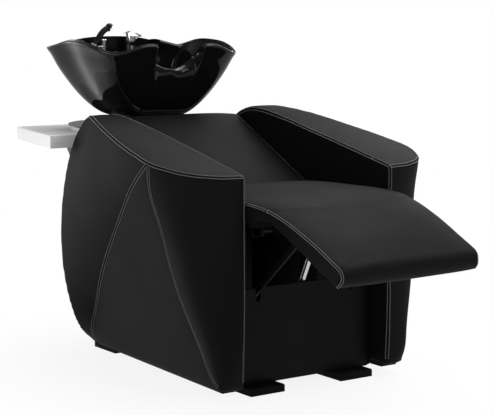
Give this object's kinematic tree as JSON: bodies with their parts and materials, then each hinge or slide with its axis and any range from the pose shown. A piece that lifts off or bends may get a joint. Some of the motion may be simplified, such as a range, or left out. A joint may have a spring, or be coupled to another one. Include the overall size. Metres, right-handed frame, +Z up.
{
  "type": "hair washing bed",
  "caption": "Salon hair washing bed: reclined upholstered armchair with folding legrest, shelf column and a tilting ceramic basin with neck notch, mixer and hand shower.",
  "frame": {"origin": "centre of the four floor bolts, on the floor", "axes": "+Z up, +Y from the legrest towards the basin, +X to the right seen from the front"},
  "size_m": [0.9522, 1.6834, 1.0478],
  "materials": {
    "black_vinyl": "soft satin upholstery vinyl with twin seams",
    "black_steel": "fine satin powder coat",
    "bright_steel": "bright zinc or ground steel",
    "black_plastic": "satin moulded plastic",
    "plywood": "raw birch plywood, dark stained",
    "chrome": "polished chrome",
    "white_laminate": "white gloss laminate",
    "gloss_black": "polished black acrylic",
    "black_ceramic": "black glaze, mirror bright"
  },
  "bodies": {
    "chair and stand": {"actuator_anchor": "black_steel", "actuator_anchor_pin": "bright_steel", "actuator_collar": "black_plastic", "actuator_motor": "black_plastic", "actuator_tube": "black_plastic", "arm_base_left": "plywood", "arm_base_right": "plywood", "arm_bolts": "bright_steel", "arm_left": "black_vinyl", "arm_right": "black_vinyl", "backrest_board": "plywood", "backrest_cushion": "black_vinyl", "base_frame": "black_steel", "bracket_bolts": "bright_steel", "cheek_plate_left": "black_steel", "cheek_plate_right": "black_steel", "cover_plate": "gloss_black", "foot_front_left": "black_steel", "foot_front_right": "black_steel", "foot_rear_left": "black_steel", "foot_rear_right": "black_steel", "front_panel": "black_steel", "hinge_bracket_left": "black_steel", "hinge_bracket_right": "black_steel", "panel_screws": "bright_steel", "rear_post": "black_steel", "rear_shroud": "black_plastic", "seat_board": "plywood", "seat_cushion": "black_vinyl", "seat_frame": "black_steel", "shelf": "white_laminate", "tilt_cradle": "black_steel", "tilt_pin": "bright_steel"},
    "legrest": {"legrest_cushion": "black_vinyl", "legrest_board": "plywood", "legrest_frame": "black_steel", "actuator_lever_pin": "bright_steel"},
    "stay arms": {"stay_arm_left": "black_steel", "stay_arm_right": "black_steel", "stay_shaft": "bright_steel"},
    "actuator rod": {"actuator_rod": "bright_steel"},
    "tilting basin": {"basin": "black_ceramic", "basin_saddle": "black_steel", "waste_flange": "chrome", "waste_tail": "black_plastic", "mixer_body": "chrome", "inlet_tails": "chrome", "shower_holder": "chrome"},
    "mixer collar": {"mixer_cap": "chrome"},
    "mixer handle": {"mixer_lever": "chrome"},
    "hand shower": {"shower_handle": "black_plastic", "shower_face": "chrome"}
  },
  "joints": [
    {"name": "legrest_fold", "type": "hinge", "parent": "chair and stand", "child": "legrest", "pos_m": [0, -0.44, 0.478], "axis": [1, 0, 0], "range_deg": [0, 62]},
    {"name": "stay_arm_swing", "type": "hinge", "parent": "legrest", "child": "stay arms", "pos_m": [0, -0.59, 0.467], "axis": [1, 0, 0], "range_deg": [-46.6, 0]},
    {"name": "actuator_stroke", "type": "slide", "parent": "chair and stand", "child": "actuator rod", "axis": [0, -0.4356, 0.9001], "range_m": [-0.0232, 0]},
    {"name": "basin_tilt", "type": "hinge", "parent": "chair and stand", "child": "tilting basin", "pos_m": [0, 0.5, 0.712], "axis": [1, 0, 0], "range_deg": [-8, 8]},
    {"name": "mixer_swivel", "type": "hinge", "parent": "tilting basin", "child": "mixer collar", "pos_m": [0.057, 0.688, 0.991], "axis": [0, 0, 1], "range_deg": [-45, 45]},
    {"name": "mixer_lift", "type": "hinge", "parent": "mixer collar", "child": "mixer handle", "pos_m": [0.057, 0.7015, 1.007], "axis": [-1, 0, 0], "range_deg": [0, 25]},
    {"name": "hand_shower_lift", "type": "slide", "parent": "tilting basin", "child": "hand shower", "axis": [0.5446, 0, 0.8387], "range_m": [0, 0.04]}
  ],
  "couplings": [
    {"joint": "stay_arm_swing", "follows": "legrest_fold", "ratio": -0.75},
    {"joint": "actuator_stroke", "follows": "legrest_fold", "m_per_rad": -0.0213}
  ]
}
